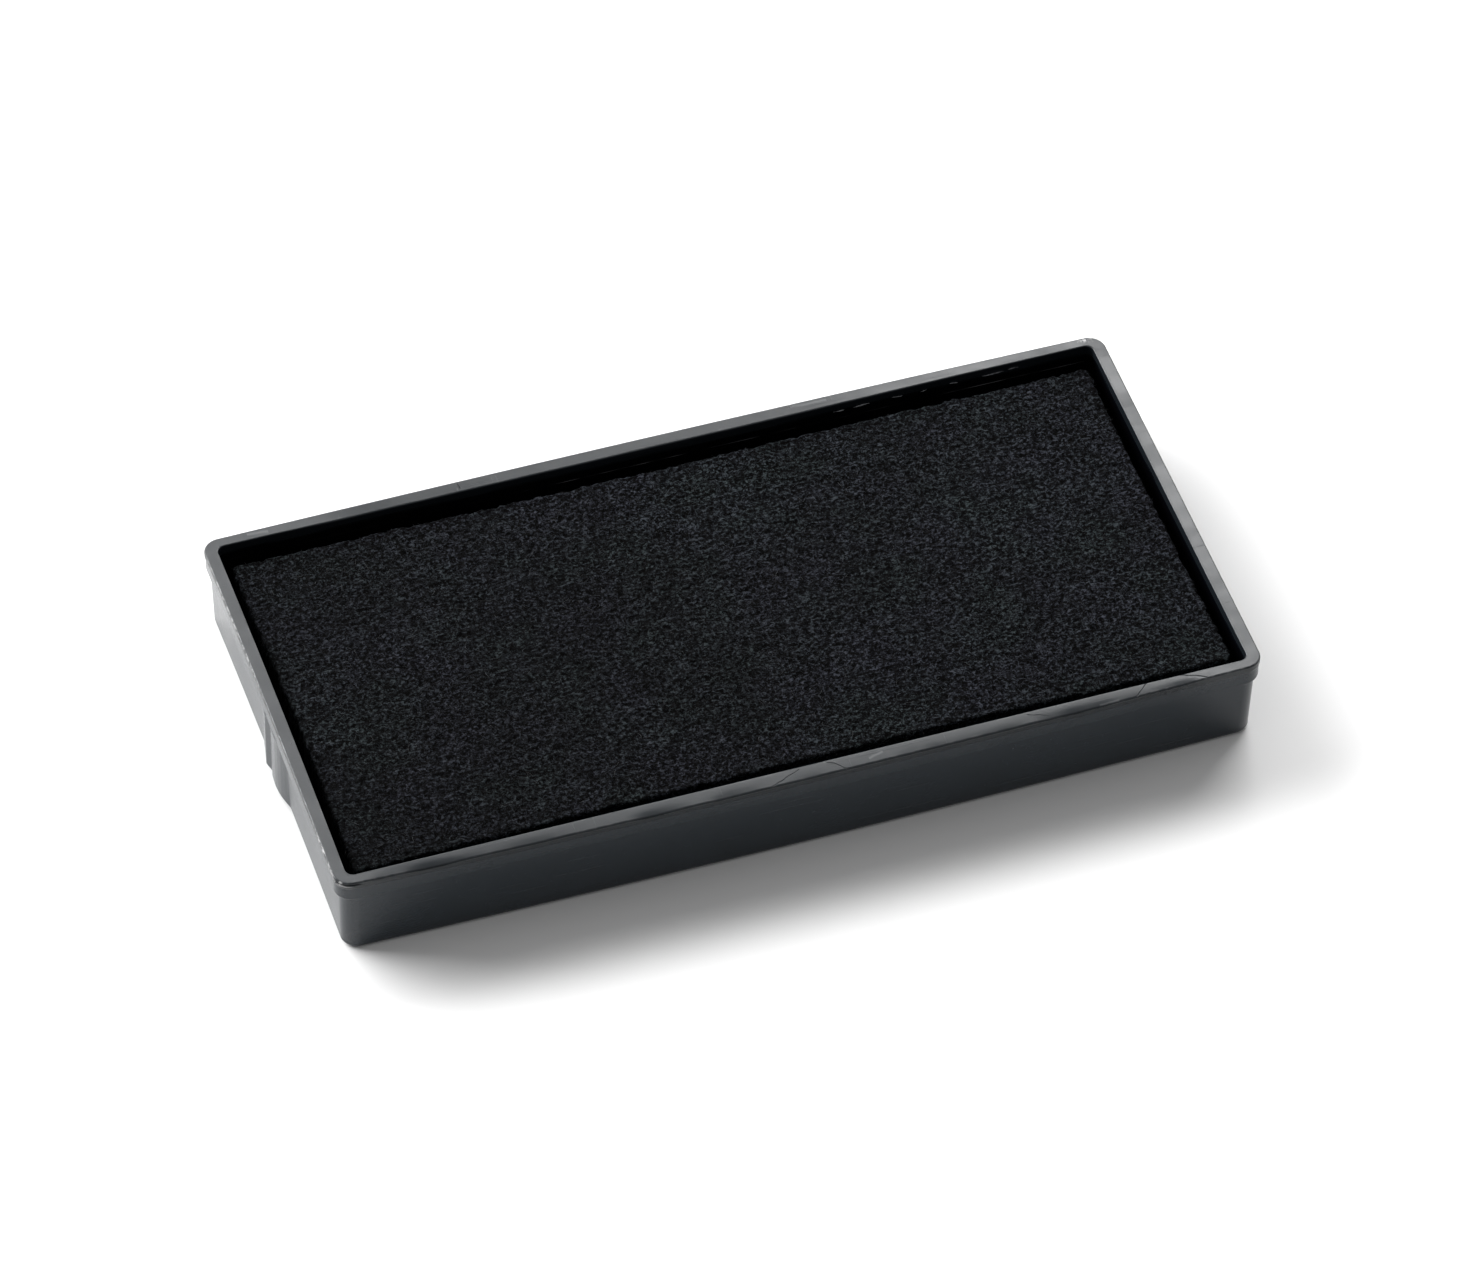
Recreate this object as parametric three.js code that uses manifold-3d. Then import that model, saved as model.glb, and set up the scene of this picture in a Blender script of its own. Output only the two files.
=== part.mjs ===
// Drop-in ink pad cartridge for a self-inking stamp.
// A shallow moulded tray, open at the top, holds a block of inked felt that is
// stuck to the tray's floor.  Both short ends of the tray have a shallow collar
// under the rim and a moulded detent lug below it.
// Frame: origin at the middle of the underside, +X along the length, +Z up.
// Millimetres.
import * as THREE from 'three';
import { mergeVertices } from 'three/addons/utils/BufferGeometryUtils.js';
import Module from 'manifold-3d';

// ---------------------------------------------------------------- dimensions
const LENGTH = 80.0;          // over the two end collars
const WIDTH = 40.9;           // over the middle of the long walls, at the rim
const SIDE_BOW = 0.4;         // each long wall falls back by this much toward the corners
const SIDE_FLAT = 15.4;       // length of the flat in the middle of each long wall
const SIDE_END = 36.0;        // the bow ends here, measured from the middle
const HEIGHT = 8.5;           // underside to rim

const MOUTH_LENGTH = 77.7;    // cavity at the rim, straight sided
const MOUTH_WIDTH = 38.1;
const CAVITY_DRAFT = 0.10;    // how much each wall gains in thickness down to the floor
const FLOOR = 1.2;            // tray floor thickness

const COLLAR_HEIGHT = 1.9;    // upright face of the collar, measured from the rim
const COLLAR_BREAK = 0.17;    // chamfer under that face
const COLLAR_STEP = 0.45;     // how far the end wall steps back below the collar
const END_DRAFT = 0.12;       // further taper of the end wall down to the foot
const SIDE_DRAFT = 0.32;      // taper of the long walls from collar height to the foot
const FOOT_CHAMFER = 0.4;     // broken edge round the underside

const CORNER_R = 1.5;         // outer upright corners
const CAVITY_R = 0.7;         // inner upright corners

const LUG_TOP = HEIGHT - COLLAR_HEIGHT;   // lug runs up to the collar
const LUG_FOOT = 0.35;
// Outline of the lug on the -X end, seen from above, from its back flank round
// the narrow rib, the groove and the wide rounded part to its front flank.
const LUG_OUTLINE = [
  [-39.20, 4.40], [-39.50, 3.75], [-39.70, 2.75], [-39.88, 1.95], [-40.00, 1.50],
  [-39.87, 1.10], [-39.73, 0.60], [-39.87, 0.10], [-39.92, -0.45], [-39.95, -1.15],
  [-39.91, -1.80], [-39.82, -2.40], [-39.66, -3.05], [-39.50, -3.60], [-39.20, -4.05],
  [-38.80, -4.05], [-38.80, 4.40],
];

const GATE_DISH_R = 2.6;      // shallow dish round the moulding gate, underside
const GATE_DISH_DEPTH = 0.35;
const GATE_NUB_R = 0.7;       // stub of the gate, kept below the underside plane
const GATE_NUB_HEIGHT = 0.2;

const FELT_LENGTH = 75.6;
const FELT_WIDTH = 35.0;
const FELT_RECESS = 1.15;     // felt surface below the rim
const FELT_UNDER = 1.8;       // height of the felt's underside
const FELT_R = 0.7;
const FELT_BEVEL = 0.2;

const TAPE_LENGTH = 70.0;     // double-sided foam film under the felt
const TAPE_WIDTH = 30.0;
const TAPE_UNDER = 1.3;
const TAPE_THICK = 0.4;

// ------------------------------------------------------------------- helpers
const wasm = await Module();
wasm.setup();

function solid(geometry) {
  const g = geometry.clone();
  g.deleteAttribute('normal');
  g.deleteAttribute('uv');
  const m = mergeVertices(g, 1e-4);
  return new wasm.Manifold(new wasm.Mesh({
    numProp: 3,
    vertProperties: new Float32Array(m.attributes.position.array),
    triVerts: new Uint32Array(m.index.array),
  }));
}

function geometryOf(manifold) {
  const mesh = manifold.getMesh();
  const g = new THREE.BufferGeometry();
  g.setAttribute('position', new THREE.BufferAttribute(new Float32Array(mesh.vertProperties), 3));
  g.setIndex(new THREE.BufferAttribute(new Uint32Array(mesh.triVerts), 1));
  g.computeVertexNormals();
  return g;
}

// rectangle with rounded corners, centred on the origin
function roundedRect(length, width, r, shape = new THREE.Shape()) {
  const a = length / 2, b = width / 2;
  shape.moveTo(-a + r, -b);
  shape.lineTo(a - r, -b);
  shape.absarc(a - r, -b + r, r, -Math.PI / 2, 0, false);
  shape.lineTo(a, b - r);
  shape.absarc(a - r, b - r, r, 0, Math.PI / 2, false);
  shape.lineTo(-a + r, b);
  shape.absarc(-a + r, b - r, r, Math.PI / 2, Math.PI, false);
  shape.lineTo(-a, -b + r);
  shape.absarc(-a + r, -b + r, r, Math.PI, Math.PI * 1.5, false);
  return shape;
}

// the same with its two long sides bowed outward: full width over a flat in the
// middle, falling away in a parabola by `bow` until SIDE_END, straight from there
function bowedRect(length, width, r, bow = SIDE_BOW) {
  const a = length / 2, b = width / 2, c = b - bow;
  const x0 = SIDE_FLAT / 2, x1 = a - r;
  const side = [[x1, c]];
  for (const t of [1, 0.82, 0.64, 0.46, 0.28, 0]) {
    side.push([x0 + (SIDE_END - x0) * t, b - bow * t * t]);
  }
  const shape = new THREE.Shape();
  shape.moveTo(-x1, -c);
  for (const [x, y] of side.slice(1)) shape.lineTo(-x, -y);
  for (const [x, y] of side.slice().reverse()) shape.lineTo(x, -y);
  shape.absarc(x1, -c + r, r, -Math.PI / 2, 0, false);
  shape.lineTo(a, c - r);
  shape.absarc(x1, c - r, r, 0, Math.PI / 2, false);
  for (const [x, y] of side.slice(1)) shape.lineTo(x, y);
  for (const [x, y] of side.slice().reverse()) shape.lineTo(-x, y);
  shape.absarc(-x1, c - r, r, Math.PI / 2, Math.PI, false);
  shape.lineTo(-a, -c + r);
  shape.absarc(-x1, -c + r, r, Math.PI, Math.PI * 1.5, false);
  return shape;
}

// upright prism from z0 to z1
function prism(shape, z0, z1, curveSegments = 5) {
  const g = new THREE.ExtrudeGeometry(shape, { depth: z1 - z0, bevelEnabled: false, curveSegments, steps: 1 });
  g.translate(0, 0, z0);
  return g;
}

// moves the lower ring of a prism inward by dx at the ends and dy along the sides
function taper(geometry, dx, dy) {
  const p = geometry.attributes.position;
  geometry.computeBoundingBox();
  const { min, max } = geometry.boundingBox;
  for (let i = 0; i < p.count; i++) {
    const x = p.getX(i), y = p.getY(i);
    if (p.getZ(i) < (min.z + max.z) / 2) {
      if (Math.abs(x) > SIDE_END + 0.5) p.setX(i, x - Math.sign(x) * dx);
      p.setY(i, y - Math.sign(y) * dy);
    }
  }
  return geometry;
}

// ---------------------------------------------------------------------- tray
const zCollar = HEIGHT - COLLAR_HEIGHT;             // lower edge of the upright face
const zStep = zCollar - COLLAR_BREAK;               // underside of the collar
const bodyLength = LENGTH - 2 * COLLAR_STEP;
const footLength = bodyLength - 2 * END_DRAFT;
const footWidth = WIDTH - 2 * SIDE_DRAFT;

let tray = solid(prism(bowedRect(LENGTH, WIDTH, CORNER_R), zCollar, HEIGHT));
tray = tray.add(solid(taper(prism(bowedRect(LENGTH, WIDTH, CORNER_R), zStep, zCollar), COLLAR_BREAK, 0)));
tray = tray.add(solid(taper(
  prism(bowedRect(bodyLength, WIDTH, CORNER_R), FOOT_CHAMFER, zStep), END_DRAFT, SIDE_DRAFT)));
tray = tray.add(solid(taper(
  prism(bowedRect(footLength, footWidth, CORNER_R), 0, FOOT_CHAMFER), FOOT_CHAMFER, FOOT_CHAMFER)));

// detent lug on each end; the second is the first turned half round
const lugShape = new THREE.Shape(LUG_OUTLINE.map(([x, y]) => new THREE.Vector2(x, y)));
const lug = solid(prism(lugShape, LUG_FOOT, LUG_TOP));
tray = tray.add(lug).add(lug.rotate([0, 0, 180]));

// cavity, a little narrower at the floor than at the mouth
tray = tray.subtract(solid(taper(
  prism(roundedRect(MOUTH_LENGTH, MOUTH_WIDTH, CAVITY_R), FLOOR, HEIGHT), CAVITY_DRAFT, CAVITY_DRAFT)));
tray = tray.subtract(solid(prism(roundedRect(MOUTH_LENGTH, MOUTH_WIDTH, CAVITY_R), HEIGHT, HEIGHT + 1)));

// gate dish in the middle of the underside, with the stub of the gate in it
const dish = new THREE.CylinderGeometry(GATE_DISH_R, GATE_DISH_R, GATE_DISH_DEPTH + 1, 24);
dish.rotateX(Math.PI / 2);
dish.translate(0, 0, GATE_DISH_DEPTH - (GATE_DISH_DEPTH + 1) / 2);
const nub = new THREE.CylinderGeometry(GATE_NUB_R, GATE_NUB_R, GATE_NUB_HEIGHT + 0.3, 12);
nub.rotateX(Math.PI / 2);
nub.translate(0, 0, GATE_DISH_DEPTH - GATE_NUB_HEIGHT + (GATE_NUB_HEIGHT + 0.3) / 2);
tray = tray.subtract(solid(dish)).add(solid(nub));

// ----------------------------------------------------------------- felt block
const feltTop = HEIGHT - FELT_RECESS;
const feltShape = roundedRect(FELT_LENGTH - 2 * FELT_BEVEL, FELT_WIDTH - 2 * FELT_BEVEL, FELT_R);
const felt = new THREE.ExtrudeGeometry(feltShape, {
  depth: feltTop - FELT_UNDER - 2 * FELT_BEVEL,
  bevelEnabled: true, bevelThickness: FELT_BEVEL, bevelSize: FELT_BEVEL, bevelSegments: 2,
  curveSegments: 4, steps: 1,
});
felt.translate(0, 0, FELT_UNDER + FELT_BEVEL);

// ----------------------------------------------------------------- foam film
const tape = prism(roundedRect(TAPE_LENGTH, TAPE_WIDTH, 0.8), TAPE_UNDER, TAPE_UNDER + TAPE_THICK, 3);

// ------------------------------------------------------------------ assembly
function mesh(name, geometry, color, roughness, metalness = 0) {
  const m = new THREE.Mesh(geometry, new THREE.MeshStandardMaterial({ color, roughness, metalness }));
  m.name = name;
  return m;
}

const cartridge = new THREE.Group();
cartridge.name = 'ink_pad_cartridge';
cartridge.add(mesh('tray', geometryOf(tray), 0x1c1f22, 0.35));
cartridge.add(mesh('felt_pad', geometryOf(solid(felt)), 0x101214, 0.95));
cartridge.add(mesh('adhesive_film', geometryOf(solid(tape)), 0xd8d6cc, 0.7));

export default cartridge;
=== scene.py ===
import math

import bpy
import numpy as np
from mathutils import Matrix, Vector, geometry


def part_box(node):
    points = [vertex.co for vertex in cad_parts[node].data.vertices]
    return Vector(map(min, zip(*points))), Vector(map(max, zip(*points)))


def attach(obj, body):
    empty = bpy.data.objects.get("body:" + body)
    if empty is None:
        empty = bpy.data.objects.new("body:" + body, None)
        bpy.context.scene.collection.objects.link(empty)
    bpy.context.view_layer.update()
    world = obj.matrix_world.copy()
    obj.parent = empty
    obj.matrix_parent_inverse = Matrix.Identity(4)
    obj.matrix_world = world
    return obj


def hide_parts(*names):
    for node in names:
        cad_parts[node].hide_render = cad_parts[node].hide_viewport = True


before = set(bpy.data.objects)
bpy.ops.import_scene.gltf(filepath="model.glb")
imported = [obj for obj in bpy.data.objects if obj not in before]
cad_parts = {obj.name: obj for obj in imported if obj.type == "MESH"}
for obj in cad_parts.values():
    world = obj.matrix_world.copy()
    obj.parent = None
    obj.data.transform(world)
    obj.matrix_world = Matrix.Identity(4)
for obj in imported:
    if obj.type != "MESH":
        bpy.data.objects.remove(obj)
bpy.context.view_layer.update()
MM = 0.001
rng = np.random.default_rng(20260)

# ------------------------------------------------------------------ sizes (mm)
tray_lo, tray_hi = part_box("tray")
felt_lo, felt_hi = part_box("felt_pad")
film_lo, film_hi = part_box("adhesive_film")
HL = tray_hi.x / MM            # half length over the collars
HW = tray_hi.y / MM            # half width at the rim
HT = tray_hi.z / MM            # height of the rim
WALL = 1.15                    # wall at the short ends
MHX, MHY = HL - WALL, 19.05    # half size of the mouth
BOW = 0.4                      # the long walls bow outward by this much
FLOOR = 1.2
COLLAR_H, COLLAR_STEP = 1.9, 0.45
END_DRAFT, SIDE_DRAFT = 0.12, 0.32
FHX, FHY = felt_hi.x / MM, felt_hi.y / MM
FZ0, FZ1 = felt_lo.z / MM, felt_hi.z / MM
LEAN_F, LEAN_B = 0.100, 0.125  # the rims of the long walls tip toward -Y between the corners


# ------------------------------------------------------------- lattice noise
def _hash3(ix, iy, iz, seed):
    n = (ix.astype(np.int64) * 73856093) ^ (iy.astype(np.int64) * 19349663) ^ (iz.astype(np.int64) * 83492791) ^ (seed * 2654435761)
    n = (n ^ (n >> 13)) * 1274126177
    n = n ^ (n >> 16)
    return (n & 0xFFFFFF).astype(np.float64) / 0xFFFFFF * 2 - 1


def noise3(p, scale, seed=0):
    """Smooth lattice noise in -1..1 at points p (n, 3), with features about 1/scale long."""
    q = np.asarray(p, float) * scale
    i = np.floor(q)
    f = q - i
    f = f * f * f * (f * (f * 6 - 15) + 10)
    i = i.astype(np.int64)
    out = 0.0
    for dx in (0, 1):
        wx = f[:, 0] if dx else 1 - f[:, 0]
        for dy in (0, 1):
            wy = f[:, 1] if dy else 1 - f[:, 1]
            for dz in (0, 1):
                wz = f[:, 2] if dz else 1 - f[:, 2]
                out = out + wx * wy * wz * _hash3(i[:, 0] + dx, i[:, 1] + dy, i[:, 2] + dz, seed)
    return out


def fbm(p, scale, octaves=3, seed=0, gain=0.5):
    out, a, s, tot = 0.0, 1.0, scale, 0.0
    for k in range(octaves):
        out = out + a * noise3(p, s, seed + 17 * k)
        tot += a
        a *= gain
        s *= 2.03
    return out / tot


def smax(a, b, k):
    h = np.maximum(k - np.abs(a - b), 0.0) / k
    return np.maximum(a, b) + h * h * k * 0.25


def new_mesh(name, verts, faces, smooth=True):
    me = bpy.data.meshes.new(name)
    me.from_pydata([tuple(v) for v in verts], [], faces)
    me.update()
    if smooth:
        me.polygons.foreach_set("use_smooth", np.ones(len(me.polygons), bool))
    ob = bpy.data.objects.new(name, me)
    bpy.context.scene.collection.objects.link(ob)
    return ob


def point_attribute(ob, name, values):
    at = ob.data.attributes.new(name, "FLOAT", "POINT")
    at.data.foreach_set("value", np.asarray(values, np.float32))


# ----------------------------------------------------------------- the tray
# Perimeter of a rounded rectangle with the same number of points on every ring,
# so that rings of different size and corner radius join quad by quad.
NX, NC = 110, 14
_dense = np.arange(-5.0, 5.0001, 0.1)
_outer = np.linspace(0, 1, 17)[1:]


def end_y(b, r):
    """y stations along a short end, dense where the lug is."""
    m = b - r
    side = 5.0 + _outer * (m - 5.0)
    return np.concatenate([-side[::-1], _dense, side])


def ring_xy(a, b, r):
    """(x, y, end): end is +1 on the +X end, -1 on the -X end, 0 on the rest."""
    xs = np.linspace(-(a - r), a - r, NX + 1)
    ys = end_y(b, r)
    arc = np.linspace(0, math.pi / 2, NC + 1)[1:-1]
    X, Y, E = [], [], []
    X.append(xs); Y.append(np.full(NX + 1, -b)); E.append(np.zeros(NX + 1))
    X.append(a - r + r * np.sin(arc)); Y.append(-b + r - r * np.cos(arc)); E.append(np.zeros(len(arc)))
    X.append(np.full(len(ys), a)); Y.append(ys); E.append(np.ones(len(ys)))
    X.append(a - r + r * np.cos(arc)); Y.append(b - r + r * np.sin(arc)); E.append(np.zeros(len(arc)))
    X.append(xs[::-1]); Y.append(np.full(NX + 1, b)); E.append(np.zeros(NX + 1))
    X.append(-a + r - r * np.sin(arc)); Y.append(b - r + r * np.cos(arc)); E.append(np.zeros(len(arc)))
    X.append(np.full(len(ys), -a)); Y.append(ys[::-1]); E.append(-np.ones(len(ys)))
    X.append(-a + r - r * np.cos(arc)); Y.append(-b + r - r * np.sin(arc)); E.append(np.zeros(len(arc)))
    return np.concatenate(X), np.concatenate(Y), np.concatenate(E)


LUG = np.array([
    (4.40, 39.20), (3.75, 39.50), (2.75, 39.70), (1.95, 39.88), (1.50, 39.98),
    (1.10, 39.87), (0.60, 39.73), (0.10, 39.87), (-0.45, 39.92), (-1.15, 39.95),
    (-1.80, 39.91), (-2.40, 39.82), (-3.05, 39.66), (-3.60, 39.50), (-4.05, 39.20)])


def lug_reach(y):
    """Distance of the -X lug's surface from the middle plane, at y."""
    fine = np.arange(-6, 6.001, 0.02)
    v = np.interp(fine, LUG[::-1, 0], LUG[::-1, 1], left=38.6, right=38.6)
    k = np.exp(-0.5 * (np.arange(-6, 7) * 0.02 / 0.045) ** 2)
    v = np.convolve(np.pad(v, 6, mode="edge"), k / k.sum(), mode="valid")
    return np.interp(y, fine, v)


def arc_pts(z0, o0, z1, o1, n, convex_to):
    """n+1 points of a quarter arc between two offsets (o = inset from the outer face)."""
    t = np.linspace(0, math.pi / 2, n + 1)
    if convex_to == "z":      # leaves along z, arrives along the offset
        return [(z0 + (z1 - z0) * math.sin(s), o0 + (o1 - o0) * (1 - math.cos(s))) for s in t]
    return [(z0 + (z1 - z0) * (1 - math.cos(s)), o0 + (o1 - o0) * math.sin(s)) for s in t]


rings = []          # (z, a, b, r, zone, g, o)  zone 0 outer, 1 rim, 2 inner wall; g share of the bow; o inset


def add(z, a, b, r, zone, g=1.0, o=0.0):
    rings.append((z, a, b, r, zone, g, o))


def across(o):
    """0 at the outer edge of the flat rim, 1 at its inner edge."""
    return min(1.0, max(0.0, (o - 0.17) / (WALL - 0.17)))


def rim_b(o):
    return HW - o - (HW - MHY - WALL) * across(o)


zc = HT - COLLAR_H                   # 6.6: lower edge of the collar's upright face
zs = zc - 0.17                       # 6.43: underside of the collar
a_body, a_foot = HL - COLLAR_STEP - 0.03, HL - COLLAR_STEP - END_DRAFT
b_body, b_foot = HW - 0.03, HW - SIDE_DRAFT
FIL = 0.5


def wall_ab(z):
    """Plain lower wall: half length and half width at height z."""
    t = (z - FIL) / (zs - FIL)
    tb = (z - FIL) / (zc - FIL)
    return a_foot + (a_body - a_foot) * t, b_foot + (b_body - b_foot) * min(1.0, tb)


# foot fillet, from the underside up; the underside itself is made after
for s in np.linspace(0, math.pi / 2, 9):
    ins = FIL * (1 - math.sin(s))
    add(FIL * (1 - math.cos(s)), a_foot - ins, b_foot - ins, max(0.75, 1.35 - ins * 0.9), 0)
# the lug's flat foot: one ring just under and one just over z = LUG_FOOT
LUG_FOOT = 0.35
for z in (0.56, 0.66, 0.9, 1.4, 2.0, 2.7, 3.4, 4.1, 4.8, 5.3, 5.7, 6.0, 6.18, 6.28):
    a, b = wall_ab(z)
    add(z, a, b, 1.4, 0)
# inner corner under the collar, its underside and its lower edge
for z, da in ((6.345, 0.003), (6.385, 0.018), (6.410, 0.050), (6.425, 0.105), (6.430, 0.180), (6.440, 0.255),
              (6.465, 0.318), (6.510, 0.362), (6.570, 0.385), (6.660, 0.394)):
    a, b = wall_ab(z)
    add(z, a_body + da, b, 1.42 + da * 0.1, 0)
# upright collar face, fine groove, bead under the rim
A1, B1 = a_body + 0.394, b_body
for z, ia in ((6.8, 0.0), (7.05, 0.0), (7.4, 0.0), (7.62, 0.0), (7.70, 0.002), (7.75, 0.002), (7.78, -0.002), (7.81, -0.016),
              (7.85, -0.042), (7.90, -0.066), (7.96, -0.076), (8.01, -0.076), (8.05, -0.076), (8.09, -0.076), (8.13, -0.076),
              (8.17, -0.076), (8.21, -0.076), (8.25, -0.076), (8.29, -0.076)):
    ib = ia * 0.25
    add(z, A1 - ia, B1 - ib, 1.48, 0)
# rim's outer round
RO, RI = 0.17, 0.11
for s in np.linspace(0, math.pi / 2, 8)[1:]:
    o = RO * (1 - math.cos(s))
    add(HT - RO + RO * math.sin(s), HL - o, HW - o, 1.5 - o, 0 if s < 0.8 else 1, 1.0, o)
# flat rim
for o in (0.20, 0.28, 0.40, 0.52, 0.66, 0.80, 0.92, 1.0):
    add(HT, HL - o, rim_b(o), 1.5 - o * 0.70, 1, 1 - across(o), o)
# inner round of the rim
for s in np.linspace(0, math.pi / 2, 7):
    o = WALL - RI + RI * math.sin(s)
    add(HT - RI * (1 - math.cos(s)), HL - o, rim_b(o), 0.72, 1 if s < 0.9 else 2, 1 - across(o), o)
# inner wall, with a little draft, down to the floor fillet
INNER_DRAFT = 0.10 / (HT - FLOOR)
for z in (8.34, 8.2, 8.0, 7.8, 7.6, 7.4, 7.2, 7.0, 6.86, 6.79, 6.75, 6.72, 6.69, 6.66, 6.63, 6.59, 6.52, 6.4, 6.2, 5.8, 5.2, 4.4, 3.4, 2.6, 2.0, 1.75):
    o = WALL + INNER_DRAFT * (HT - z)
    add(z, HL - o, rim_b(o), 0.70, 2, 0.0, o)
o0 = 0.10
for s in np.linspace(0, math.pi / 2, 6):
    o = WALL + o0 + 0.45 * (1 - math.cos(s))
    add(FLOOR + 0.45 * (1 - math.sin(s)), HL - o, rim_b(o), 0.70, 2, 0.0, o)

NR = len(rings)
V, ZONE, RINGK, GG, OO = [], [], [], [], []
for k, (z, a, b, r, zone, g, o) in enumerate(rings):
    x, y, e = ring_xy(a, b, r)
    y = y * (1 - g * BOW * np.clip(np.abs(x) / (HL - 1.5), 0, 1) ** 2 / b)
    zz = np.full(len(x), z)
    if zone == 0 and z >= LUG_FOOT and z < 6.62:
        reach = lug_reach(np.where(e < 0, y, -y))
        rise = np.clip((z - LUG_FOOT) / 0.16, 0, 1)
        reach = reach - 0.16 * (1 - math.sqrt(max(0.0, 1 - (1 - rise) ** 2)))
        reach = np.where(e == 0, 0.0, reach)
        base = np.abs(x)
        new = np.where(reach > base - 0.12, smax(base, reach, 0.10), base)
        x = np.where(e == 0, x, np.sign(x) * np.minimum(new, HL - 0.02))
    V.append(np.c_[x, y, zz])
    ZONE.append(np.full(len(x), zone))
    RINGK.append(np.full(len(x), k))
    GG.append(np.full(len(x), g))
    OO.append(np.full(len(x), o))
NP = len(V[0])
V = np.concatenate(V)
ZONE, RINGK, GG, OO = (np.concatenate(q) for q in (ZONE, RINGK, GG, OO))

# slight unevenness of a thin moulding: the back wall bows less, the -X end is drawn in, faces are a little wavy
out = (ZONE == 0)
HWC = HW - BOW                       # half width at the corners
wave = fbm(V, 1 / 9.0, 3, seed=3)
sgn_x, sgn_y = np.sign(V[:, 0]), np.sign(V[:, 1])
mid_x = np.clip(1 - (V[:, 0] / (HL - 1.5)) ** 2, 0, 1)
mid_y = np.clip(1 - (V[:, 1] / (HWC - 1.5)) ** 2, 0, 1)
on_side = np.abs(V[:, 1]) > MHY - 0.35
on_end = np.abs(V[:, 0]) > HL - 1.9
dep = np.where(out, 1.0, 0.55)
# shallow parting groove under the bead, deepest round the corners
near_corner = np.exp(-(np.clip(V[:, 0] + HL - 0.3, 0, None) / 1.25) ** 4) * np.exp(-(np.clip(V[:, 1] + HWC - 0.4, 0, None) / 0.7) ** 4)
groove = out * near_corner * (0.32 * np.exp(-((V[:, 2] - 8.255) / 0.075) ** 4) - 0.020 * np.exp(-((V[:, 2] - 8.09) / 0.045) ** 2))
V[:, 0] -= np.where(on_end, sgn_x * groove, 0)
V[:, 1] -= np.where(on_side, sgn_y * groove, 0)
V[:, 1] -= np.where(on_side & (V[:, 1] > 0), GG * 0.17 * mid_x, 0)
V[:, 0] += np.where(on_end & (V[:, 0] < 0), 0.11 * mid_y, 0)
V[:, 1] -= np.where(on_side, sgn_y * dep * (0.008 + 0.008 * wave), 0)
V[:, 0] -= np.where(on_end, sgn_x * dep * (0.006 + 0.006 * wave), 0)
V[:, 2] -= np.where((ZONE == 1), 0.010 + 0.010 * fbm(V, 1 / 4.0, 2, seed=9), 0)
# the long rims tip toward -Y a little between the corners
lean = np.clip(1 - (np.abs(V[:, 0]) / (HL - 2.0)) ** 16, 0, 1)
lean_f = lean * np.where(V[:, 0] > 20, np.clip((36.5 - V[:, 0]) / 10.0, 0, 1), 1)
lean_b = lean * np.clip((26 - V[:, 0]) / 14.0, 0.0, 1) * np.clip((V[:, 0] + 35) / 8.0, 0, 1)
top_zone = (V[:, 2] > HT - 0.25) & on_side
face_y = HW - BOW * np.clip(np.abs(V[:, 0]) / (HL - 1.5), 0, 1) ** 2
cross = np.clip((np.abs(V[:, 1]) - MHY) / (face_y - MHY), 0, 1)
V[:, 2] -= np.where(top_zone & (V[:, 1] < 0), lean_f * LEAN_F * cross ** 1.3, 0)
# the outer edge of the front rim is worn down unevenly
worn = np.clip(fbm(V * np.array([1, 0.3, 0.3]), 1 / 3.2, 3, seed=77) * 1.7 + 0.05, 0, 1)
V[:, 2] -= np.where((ZONE <= 1) & (V[:, 2] > HT - 0.25) & (V[:, 1] < -MHY), 0.105 * worn * np.exp(-(OO / 0.36) ** 2) * lean, 0)
V[:, 2] -= np.where(top_zone & (V[:, 1] > 0), lean_b * LEAN_B * (1 - cross), 0)

# ink that has dried in a thin ridge along the back wall, thicker toward +X; the ridge's pale colour is a painted
# highlight
tide_z = 6.69 + 0.02 * np.sin(V[:, 0] / 9.0)
tide_ridge_and_highlight = np.exp(-((V[:, 2] - tide_z) / 0.035) ** 2) * (ZONE == 2) * (V[:, 1] > MHY - 0.3) * (np.abs(V[:, 0]) < MHX - 0.5)
tide_ridge_and_highlight *= np.clip((V[:, 0] + 22.0) / 14.0, 0.15, 1) * np.clip(0.75 + 0.9 * noise3(V * np.array([1, 0, 0]), 1 / 1.6, seed=15), 0.1, 1.3)
V[:, 1] -= 0.045 * tide_ridge_and_highlight

faces = []
for k in range(NR - 1):
    a0, b0 = k * NP, (k + 1) * NP
    for i in range(NP):
        j = (i + 1) % NP
        faces.append((a0 + i, a0 + j, b0 + j, b0 + i))

verts = [tuple(v) for v in V]
zone = list(ZONE)


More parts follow.
